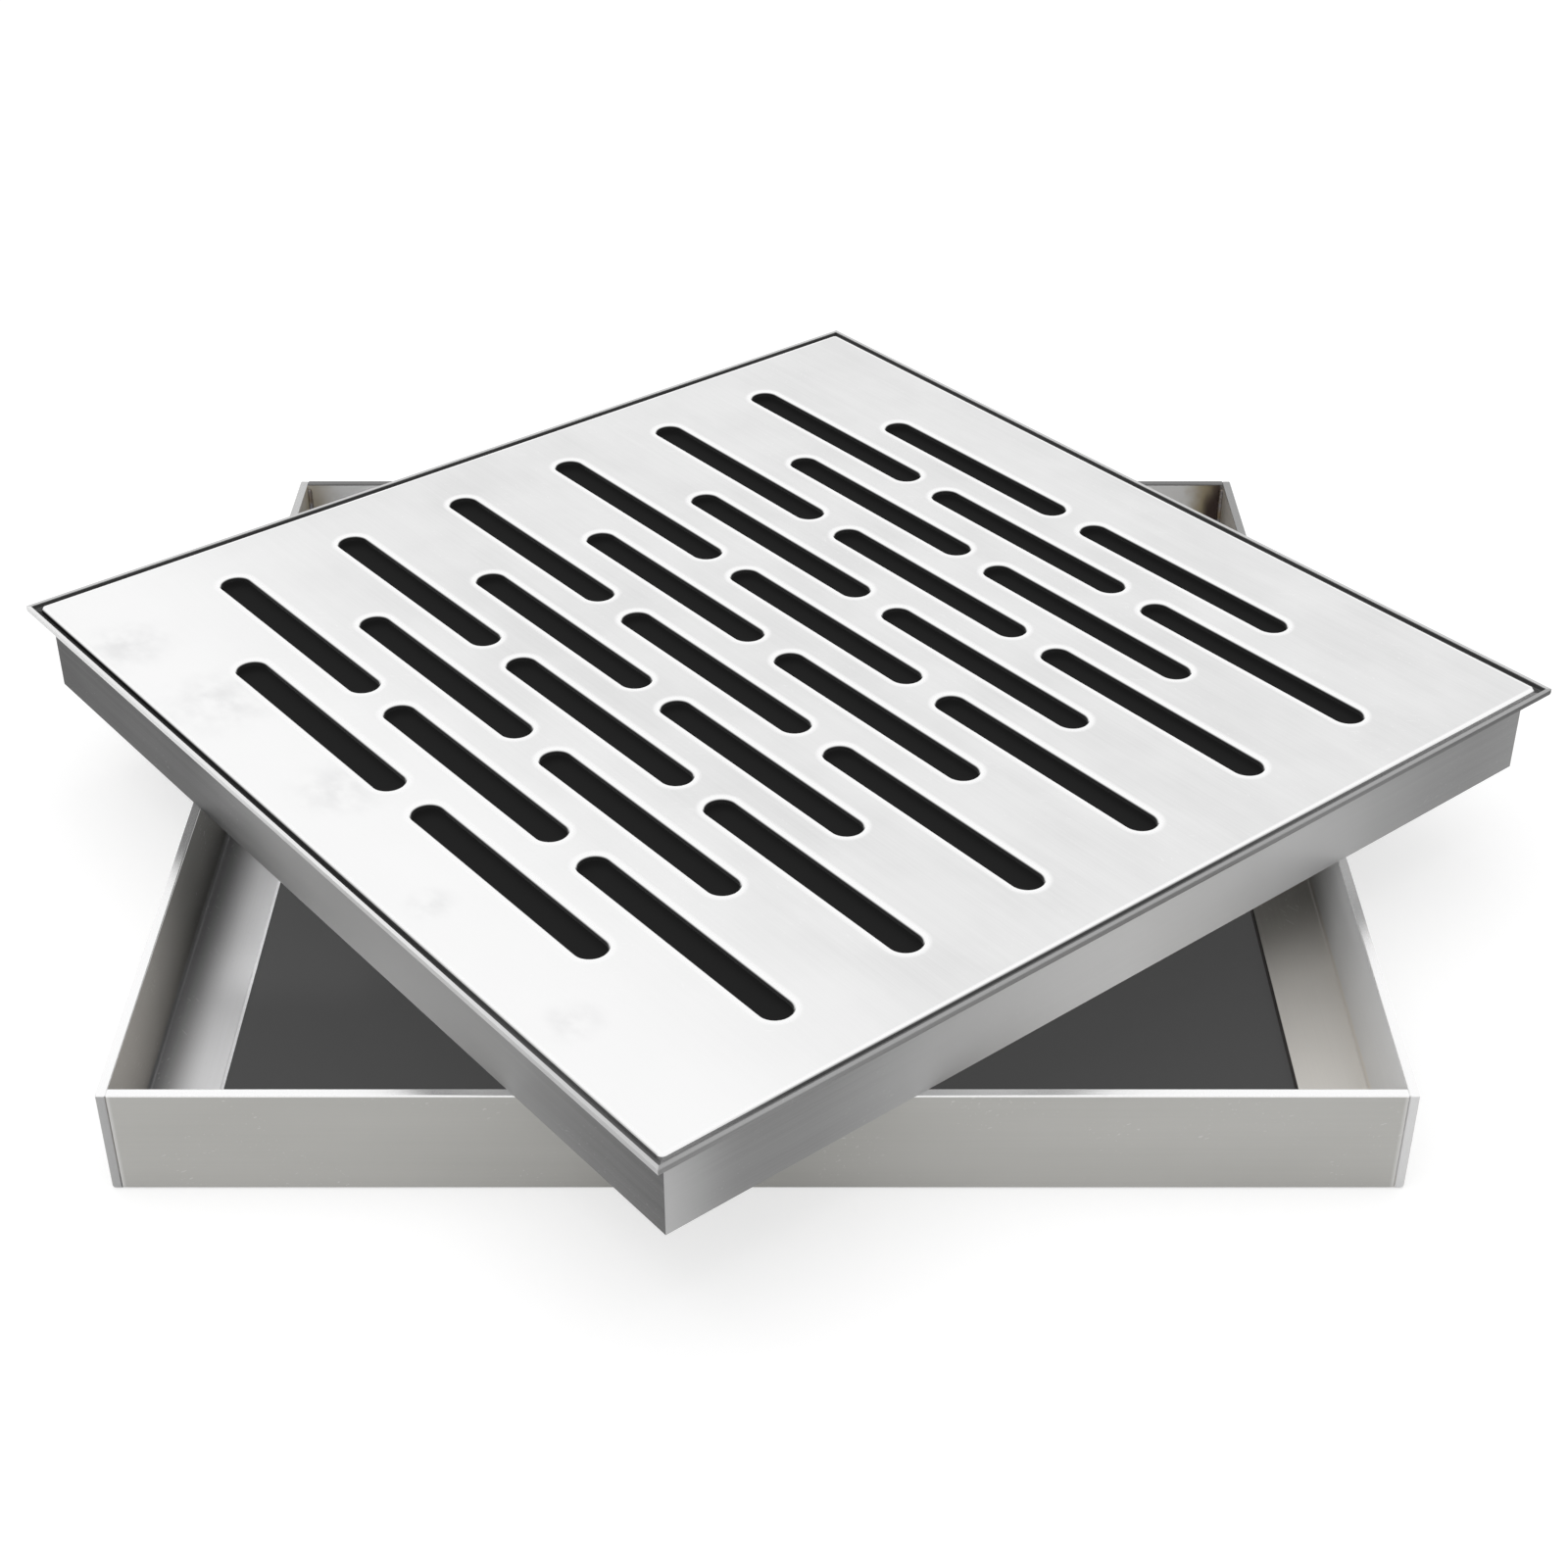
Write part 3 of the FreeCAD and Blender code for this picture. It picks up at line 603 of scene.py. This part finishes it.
def frame_steel(name, turn, shift, tones):
    """Satin sheet of the frame, brushed along each side, with tones of its own inside the frame."""
    material, tree, shader, along = new_steel(name, FRAME_CENTRE, turn)
    grain = use_group(tree, grain_group, {"Place": along, "Stroke length": 0.07, "Stroke width": 0.0005})
    tone = use_group(tree, cloud_group, {"Place": along, "Patch size": (0.14, 0.05, 0.05), "Shift": shift})
    scratch = use_group(tree, scratch_group, {"Place": along})
    heat = use_group(tree, heat_group, {"Place": along, "Half width": HALF_SEAT, "Reach": STAIN_REACH})
    apart = put(tree, "ShaderNodeSeparateXYZ", {0: along}).outputs
    endways = calc(tree, "ABSOLUTE", apart[0])
    inset = calc(tree, "SUBTRACT", HALF_SEAT, calc(tree, "ABSOLUTE", apart[1]))
    inside = ramp_between(tree, inset, -0.0004, -0.0001)
    low = ramp_between(tree, apart[2], LEDGE_TOP + 0.003, LEDGE_TOP + 0.001)
    on_ledge = product(tree, [low, inside])
    outwards = ramp_between(tree, inset, 0.0, 0.7 * LEDGE_REACH)
    edge_face = ramp_between(tree, inset, LEDGE_REACH - 0.0003, LEDGE_REACH - 0.0001)
    cut_end = ramp_between(tree, endways, HALF_FRAME - 0.0003, HALF_FRAME - 0.0001)
    ground = ramp_between(tree, apart[2], FRAME_TOP - 0.0006, FRAME_TOP - 0.0002)

    place = put(tree, "ShaderNodeTexCoord").outputs["Object"]
    stood = put(tree, "ShaderNodeSeparateXYZ", {0: place}).outputs
    behind = ramp_between(tree, stood[1], 0.0, 0.05)
    hotter = mix_values(tree, ramp_between(tree, stood[0], -0.05, 0.05), *tones["burn"])
    lower = mix_values(tree, ramp_between(tree, stood[2], FRAME_TOP, LEDGE_TOP), 0.72, 1.15)
    stain = product(tree, [heat, inside, behind, hotter, lower])

    # The far wall tone paints shade on the back part of the wall; on the right it is darker.
    wall = mix_colours(tree, behind, tones["wall"], tones["far wall"])
    # The fold tone paints shade into the crease beside the wall; on the left it is dark.
    ledge = mix_colours(tree, outwards, tones["fold"], tones["ledge"])
    # Painted shade: the wall and ledge are painted darker where the grate lies over them.
    if tones["shade under grate"]:
        lit_until, shaded_from = tones["shade under grate"]
        covered = use_group(tree, under_group, {"Place": place, "Lit until": lit_until, "Shaded from": shaded_from})
        wall = mix_colours(tree, calc(tree, "MULTIPLY", covered, tones["wall shade under grate"]), wall, GRATE_SHADE)
        if tones["ledge shade under grate"]:
            ledge = mix_colours(tree, calc(tree, "MULTIPLY", covered, tones["ledge shade under grate"]), ledge, GRATE_SHADE)
    colour = mix_colours(tree, tone, SATIN_DARK, SATIN_LIGHT)
    colour = mix_colours(tree, inside, colour, wall)
    colour = mix_colours(tree, on_ledge, colour, ledge)
    colour = mix_colours(tree, calc(tree, "MULTIPLY", grain, 0.10), colour, STROKE_LIGHT)
    colour = mix_colours(tree, calc(tree, "MULTIPLY", scratch, 0.3), colour, grey(0.8))
    colour = mix_colours(tree, ramp_between(tree, stain, 0.05, 0.5), colour, STAIN_STRAW)
    colour = mix_colours(tree, ramp_between(tree, stain, 0.45, 0.75), colour, STAIN_BROWN)
    # The free edge tone paints shade along the ledge's edge; on the right it is nearly black.
    colour = mix_colours(tree, edge_face, colour, tones["free edge"])
    # The cut ends and the ground seams are painted lighter, as painted highlights.
    colour = mix_colours(tree, cut_end, colour, grey(tones["end"]))
    if tones["seam"]:
        from_seam = calc(tree, "ABSOLUTE", calc(tree, "SUBTRACT", endways, HALF_SEAT))
        seam = calc(tree, "MULTIPLY", ramp_between(tree, from_seam, 0.0012, 0.0003), tones["seam"])
        colour = mix_colours(tree, seam, colour, grey(0.9))
    # Painted shade: the ground top edge is painted darker towards the back.
    top_edge = mix_colours(tree, behind, grey(0.98), grey(tones["far edge"]))
    colour = mix_colours(tree, ground, colour, top_edge)
    tree.links.new(colour, shader.inputs["Base Color"])
    metal = mix_values(tree, ground, 0.5, 0.85)
    rough = mix_values(tree, ground, mix_values(tree, grain, 0.38, 0.50), 0.26)
    if tones["dull free edge"]:
        metal = mix_values(tree, edge_face, metal, 0.0)
        rough = mix_values(tree, edge_face, rough, 1.0)
    tree.links.new(metal, shader.inputs["Metallic"])
    tree.links.new(rough, shader.inputs["Roughness"])
    add_relief(tree, shader, grain, 0.15, 0.00004)
    return material


print("heat stain of the frame reaches", round(1000 * STAIN_REACH), "mm")

# %% [markdown]
# The sides of the frame are given different tones, mostly as painted light and shade: the left wall is
# painted darker than the right, as painted shade. The left ledge is cool, and painted dark beside the wall,
# as painted shade. The right one is warm and has a free edge painted dark, as painted shade, and the far
# end of its wall is painted darker, as painted shade. The front and back have faint bright seams where they
# are welded to the sides, painted as highlights, and the right side's cut ends are painted light, as a
# painted highlight. Three finishes could be built one by one, but one recipe with three sets of tones keeps
# them alike in all else.

# %% Tones of the frame's sides
COOL_PALE = (0.91, 0.91, 0.92, 1)
COOL_DARK = (0.225, 0.225, 0.23, 1)
WARM_PALE = (0.83, 0.80, 0.75, 1)
WARM_GREY = (0.84, 0.81, 0.76, 1)
LIGHT_GREY = (0.84, 0.845, 0.85, 1)
BROWN_GREY = (0.42, 0.395, 0.36, 1)
SHADED_GREY = (0.50, 0.475, 0.445, 1)
DARK_BROWN = (0.012, 0.008, 0.006, 1)
ACROSS_TONES = {
    "wall": LIGHT_GREY,
    "far wall": LIGHT_GREY,
    "fold": WARM_GREY,
    "ledge": WARM_PALE,
    "free edge": WARM_PALE,
    "dull free edge": False,
    "end": 0.45,
    "seam": 0.28,
    "far edge": 0.16,
    "burn": (0.45, 1.0),
    "shade under grate": None,
}
# Painted shade: the left wall is painted darker than the right.
LEFT_TONES = {
    "wall": BROWN_GREY,
    "far wall": BROWN_GREY,
    "fold": COOL_DARK,
    "ledge": COOL_PALE,
    "free edge": COOL_PALE,
    "dull free edge": False,
    "end": 0.40,
    "seam": 0.0,
    "far edge": 0.55,
    "burn": (0.4, 0.4),
    "shade under grate": (-0.06, -0.005),
    "wall shade under grate": 0.97,
    "ledge shade under grate": 0.0,
}
RIGHT_TONES = {
    "wall": LIGHT_GREY,
    "far wall": SHADED_GREY,
    "fold": WARM_GREY,
    "ledge": WARM_PALE,
    "free edge": DARK_BROWN,
    "dull free edge": True,
    "end": 0.66,
    "seam": 0.0,
    "far edge": 0.32,
    "burn": (0.3, 0.3),
    "shade under grate": (-0.004, 0.025),
    "wall shade under grate": 0.6,
    "ledge shade under grate": 0.65,
}
frame_across = frame_steel("frame_steel_front_back", 0, 3.0, ACROSS_TONES)
frame_left = frame_steel("frame_steel_left", QUARTER, 7.0, LEFT_TONES)
frame_right = frame_steel("frame_steel_right", QUARTER, 5.0, RIGHT_TONES)
for name in ("frame_front_angle", "frame_back_angle"):
    nodes[name].data.materials[0] = frame_across
nodes["frame_left_angle"].data.materials[0] = frame_left
nodes["frame_right_angle"].data.materials[0] = frame_right
print("three finishes on four frame angles")

# %% [markdown]
# The two stiffener bars under the plate are cut from plain bar and keep their mill finish, which is
# cloudier and rougher than the brushed sheet. The webs between the slots hide them from above, so they
# show only from below, and a plain mix of two greys is enough.

# %% Finish of the stiffener bars
bar_steel, tree, shader, along = new_steel("bar_steel_look", (0, 0, 0), GRATE_TURN)
grain = use_group(tree, grain_group, {"Place": along, "Stroke length": 0.02, "Stroke width": 0.0008})
scale = use_group(tree, cloud_group, {"Place": along, "Patch size": (0.02, 0.012, 0.012), "Shift": 1.5})
colour = mix_colours(tree, scale, (0.10, 0.10, 0.098, 1), (0.20, 0.20, 0.195, 1))
colour = mix_colours(tree, calc(tree, "MULTIPLY", grain, 0.2), colour, grey(0.3))
tree.links.new(colour, shader.inputs["Base Color"])
tree.links.new(mix_values(tree, scale, 0.42, 0.6), shader.inputs["Roughness"])
add_relief(tree, shader, scale, 0.2, 0.0001)
for name in ("stiffener_bar_front", "stiffener_bar_back"):
    nodes[name].data.materials[0] = bar_steel
print("mill finish on two bars")

# %% [markdown]
# A weld bead is a row of frozen puddles, each lapped over the last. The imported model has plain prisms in
# the corners. A bump on them could draw the laps but not their outline, so each prism is replaced by a
# real bead. Its section is a quarter circle swept up the corner, its radius swells and falls with every
# puddle, and the laps curve because the middle of a puddle freezes last.

# %% Shape of a weld bead
import bmesh

ARC_STEPS = 10
RINGS_PER_PUDDLE = 7


def puddle_radius(height, angle, pitch, seed):
    """Share of the bead's leg at one place on it, from the nearest puddle."""
    lap = height / pitch - 0.45 * math.sin(2 * angle) + 0.12 * math.sin(2.3 * height / pitch + seed)
    swell = 1 - (2 * (lap % 1) - 1) ** 2
    return 0.88 + 0.12 * swell


def add_bead(mesh, corner, turn, leg, foot, head, pitch, seed):
    """Sweep one bead up an inside corner; turn is the direction of the first wall seen from the corner."""
    rings = int((head - foot) / pitch * RINGS_PER_PUDDLE)
    loops = []
    for ring in range(rings + 1):
        height = foot + (head - foot) * ring / rings
        near_end = min(height - foot, head - height, leg) / leg
        taper = math.sqrt(max(1 - (1 - near_end) ** 2, 0.0025))
        loop = [mesh.verts.new((corner.x, corner.y, height))]
        for step in range(ARC_STEPS + 1):
            angle = QUARTER * step / ARC_STEPS
            reach = leg * taper * puddle_radius(height - foot, angle, pitch, seed)
            way = Vector((math.cos(turn + angle), math.sin(turn + angle)))
            loop.append(mesh.verts.new((corner.x + reach * way.x, corner.y + reach * way.y, height)))
        loops.append(loop)
    for below, above in zip(loops, loops[1:]):
        for place, vertex in enumerate(below):
            after = (place + 1) % len(below)
            mesh.faces.new((vertex, below[after], above[after], above[place]))
    mesh.faces.new(list(reversed(loops[0])))
    mesh.faces.new(loops[-1])


print("a puddle is drawn with", RINGS_PER_PUDDLE, "rings of", ARC_STEPS, "steps")

# %% [markdown]
# The frame and the skirt of the grate are both square, so one function sets four beads into the corners
# of either. Copies of one bead would do, but each bead starts its ripple at another point, so that no two
# look alike.


# %% Beads in the corners
def corner_beads(name, centre, turn, half, leg, foot, head, pitch):
    """Four beads in the inside corners of a square."""
    mesh = bmesh.new()
    for number in range(4):
        facing = turn + QUARTER * number
        outward = Vector((math.cos(facing + QUARTER / 2), math.sin(facing + QUARTER / 2)))
        corner = Vector((centre.x, centre.y)) + outward * half * math.sqrt(2)
        add_bead(mesh, corner, facing + 2 * QUARTER, leg, foot, head, pitch, 1.7 * number)
    data = bpy.data.meshes.new(name)
    mesh.to_mesh(data)
    mesh.free()
    data.polygons.foreach_set("use_smooth", [True] * len(data.polygons))
    beads = bpy.data.objects.new(name, data)
    scene.collection.objects.link(beads)
    return beads


FRAME_BEAD_LEG = 0.0012
FRAME_PUDDLE = 0.0011
SKIRT_BEAD_LEG = 0.002
SKIRT_PUDDLE = 0.0014
FLANGE_WIDTH = 0.005
SKIRT_INSIDE = GRATE_HALF - FLANGE_WIDTH - STRIP_SHEET
GRATE_CENTRE = Vector((0, 0, 0))

foot, head = [end.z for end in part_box("frame_corner_welds")]
frame_beads = corner_beads(
    "frame_weld_beads", FRAME_CENTRE, 0, HALF_SEAT, FRAME_BEAD_LEG, foot, head, FRAME_PUDDLE
)
foot, head = [end.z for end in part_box("grate_corner_welds")]
skirt_beads = corner_beads(
    "skirt_weld_beads", GRATE_CENTRE, GRATE_TURN, SKIRT_INSIDE, SKIRT_BEAD_LEG, foot, head, SKIRT_PUDDLE
)
for beads, node in ((frame_beads, "frame_corner_welds"), (skirt_beads, "grate_corner_welds")):
    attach(beads, "root")
    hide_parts(node)
    print(beads.name, "has", len(beads.data.polygons), "faces")

# %% [markdown]
# The beads are darker than the sheet and tinted straw, brown and grey blue by the heat. Clouds of a few
# millimetres choose the tint, and wider ones lay soot over it. Both come from the shared cloud effect, so
# nothing new is needed.

# %% Finish of the weld beads
weld_steel, tree, shader, along = new_steel("weld_steel_look", FRAME_CENTRE, 0)
tint = use_group(tree, cloud_group, {"Place": along, "Patch size": (0.004, 0.004, 0.003), "Shift": 3.3})
soot = use_group(tree, cloud_group, {"Place": along, "Patch size": (0.012, 0.012, 0.008), "Shift": 6.1})
colour = mix_colours(tree, tint, (0.30, 0.22, 0.13, 1), (0.34, 0.35, 0.40, 1))
colour = mix_colours(tree, calc(tree, "MULTIPLY", soot, 0.6), colour, (0.10, 0.085, 0.075, 1))
tree.links.new(colour, shader.inputs["Base Color"])
tree.links.new(mix_values(tree, soot, 0.28, 0.5), shader.inputs["Roughness"])
add_relief(tree, shader, tint, 0.25, 0.0001)
for beads in (frame_beads, skirt_beads):
    beads.data.materials.append(weld_steel)
print("weld finish on two groups of beads")

# %% [markdown]
# The drain stands on a wide white floor. To the camera and in the metal's reflections the floor also
# glows a little, so that it reads as white paper, and it keeps a soft shadow. More lamps would make it
# white too, but they would burn out the steel. The Light Path node tells the kinds of ray apart.


# %% Papers for the stage
def flat_sheet(name, centre, half_width, half_depth, height):
    """Flat rectangle that belongs to the stage."""
    corners = [(-1, -1), (1, -1), (1, 1), (-1, 1)]
    places = [(centre.x + x * half_width, centre.y + y * half_depth, height) for x, y in corners]
    data = bpy.data.meshes.new(name)
    data.from_pydata(places, [], [(0, 1, 2, 3)])
    sheet = bpy.data.objects.new(name, data)
    scene.collection.objects.link(sheet)
    return sheet


def kinds_of_ray(tree):
    """1 for rays from the camera, and 1 for rays from a reflection or through glass."""
    rays = put(tree, "ShaderNodeLightPath").outputs
    return rays["Is Camera Ray"], largest(tree, [rays["Is Glossy Ray"], rays["Is Transmission Ray"]])


def stage_paper(name, to_camera, in_mirror, as_light):
    """Matt stage surface; each pair is its tone and its glow for one kind of ray."""
    material = bpy.data.materials.new(name)
    material.use_nodes = True
    tree = material.node_tree
    shader = tree.nodes["Principled BSDF"]
    shader.inputs["Roughness"].default_value = 1
    shader.inputs["Specular IOR Level"].default_value = 0
    shader.inputs["Emission Color"].default_value = grey(1)
    watched, mirrored = kinds_of_ray(tree)
    paper = mix_colours(tree, mirrored, grey(as_light[0]), grey(in_mirror[0]))
    glow = mix_values(tree, mirrored, as_light[1], in_mirror[1])
    tree.links.new(mix_colours(tree, watched, paper, grey(to_camera[0])), shader.inputs["Base Color"])
    tree.links.new(mix_values(tree, watched, glow, to_camera[1]), shader.inputs["Emission Strength"])
    return material


print("stage papers ready")

# %% [markdown]
# A dark sheet under the frame's opening stands for the hole of the drain, and its dark is painted shade. A
# black card close under the plate is painted shade below the slots. A deep pit could be built, but a flat
# sheet gives the same even dark. Both are dark to the camera only. To all other rays they are pale, so that
# they don't darken the steel round them, and the hole also glows for them, though it is no lamp, and lights
# the steel inside the frame.

# %% Floor, hole and card
FLOOR_HALF = 4
FLOOR_TONE = 0.82
PALE_PANEL = 0.75
HOLE_MARGIN = 0.004
CARD_DROP = 0.002

floor = flat_sheet("floor", GRATE_CENTRE, FLOOR_HALF, FLOOR_HALF, -0.0002)
white_paper = stage_paper("white_paper", (0.5, 0.61), (FLOOR_TONE, 0.32), (FLOOR_TONE, 0))
floor.data.materials.append(white_paper)
opening_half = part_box("frame_right_angle")[0].x - FRAME_CENTRE.x
hole_half = opening_half + HOLE_MARGIN
hole = flat_sheet("drain_hole", FRAME_CENTRE, hole_half, hole_half, 0.0001)
# Painted shade to the camera, and a glow that lights the frame for all other rays.
hole_shade_and_glow = stage_paper("hole_shade_and_glow", (0.03, 0.051), (PALE_PANEL, 0.25), (PALE_PANEL, 0.25))
hole.data.materials.append(hole_shade_and_glow)
card_half = SKIRT_INSIDE - 0.0002
card = flat_sheet("black_card", GRATE_CENTRE, card_half, card_half, 0)
card.location.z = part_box("slotted_plate")[0].z - CARD_DROP
card.rotation_euler.z = GRATE_TURN
# Painted shade below the slots.
black_card = stage_paper("black_card", (0.01, 0.009), (PALE_PANEL, 0), (PALE_PANEL, 0))
card.data.materials.append(black_card)
print("frame opening is", round(2000 * opening_half, 1), "mm wide")

# %% [markdown]
# The light is a plain soft studio. The room round the drain is white to the camera, and a little dimmer
# as a source of light. Reflections see it white too, except low down on one side, where the darker edge
# strips look. A picture of a real room could be used, but it would put windows and walls into the steel.

# %% Room
ROOM_WHITE = grey(1.0)
ROOM_LIGHT = grey(0.78)
ROOM_DIM = grey(0.18)
DIM_SIDE = Vector((-0.75, -0.62, -0.2)).normalized()

world = bpy.data.worlds.new("studio")
scene.world = world
world.use_nodes = True
tree = world.node_tree
background = tree.nodes["Background"]
way = put(tree, "ShaderNodeTexCoord").outputs["Generated"]
towards = put(tree, "ShaderNodeVectorMath", {0: way, 1: DIM_SIDE}, operation="DOT_PRODUCT").outputs["Value"]
upward = put(tree, "ShaderNodeSeparateXYZ", {0: way}).outputs[2]
dim = product(tree, [ramp_between(tree, towards, -0.1, 0.7), ramp_between(tree, upward, 0.35, 0.05)])
watched, mirrored = kinds_of_ray(tree)
room = mix_colours(tree, mirrored, ROOM_LIGHT, mix_colours(tree, dim, ROOM_WHITE, ROOM_DIM))
tree.links.new(mix_colours(tree, watched, room, ROOM_WHITE), background.inputs["Color"])
print("room is white, and lights the drain at", ROOM_LIGHT[0])

# %% [markdown]
# One large softbox hangs overhead, and a small lamp under the grate lifts the ledge on the left. The
# softbox is left out of reflections, so that the steel mirrors the even room and doesn't burn out to
# white when it is seen from above.


# %% Lamps
def softbox(name, place, aim, width, depth, power):
    """Soft rectangular lamp that looks at a place."""
    lamp = bpy.data.lights.new(name, "AREA")
    lamp.shape = "RECTANGLE"
    lamp.size = width
    lamp.size_y = depth
    lamp.energy = power
    box = bpy.data.objects.new(name, lamp)
    box.location = place
    box.rotation_euler = (Vector(aim) - Vector(place)).to_track_quat("-Z", "Y").to_euler()
    scene.collection.objects.link(box)
    return box


KEY_PLACE = (-0.2, -0.1, 1.6)
KEY_SIDE = 1.6
KEY_WATTS = 7
FILL_X = -0.122
FILL_Y = 0.0075
FILL_WATTS = 0.0095

key = softbox("key_softbox", KEY_PLACE, GRATE_CENTRE, KEY_SIDE, KEY_SIDE, KEY_WATTS)
key.visible_glossy = False
skirt_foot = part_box("grate_edge_front_left")[0].z
fill_place = (FILL_X, FILL_Y, skirt_foot)
fill = softbox("fill_under_grate", fill_place, (FILL_X, FILL_Y, 0), 0.04, 0.185, FILL_WATTS)
fill.data.spread = math.radians(50)
print("softbox of", key.data.energy, "W, fill lamp of", round(fill.data.energy, 4), "W")
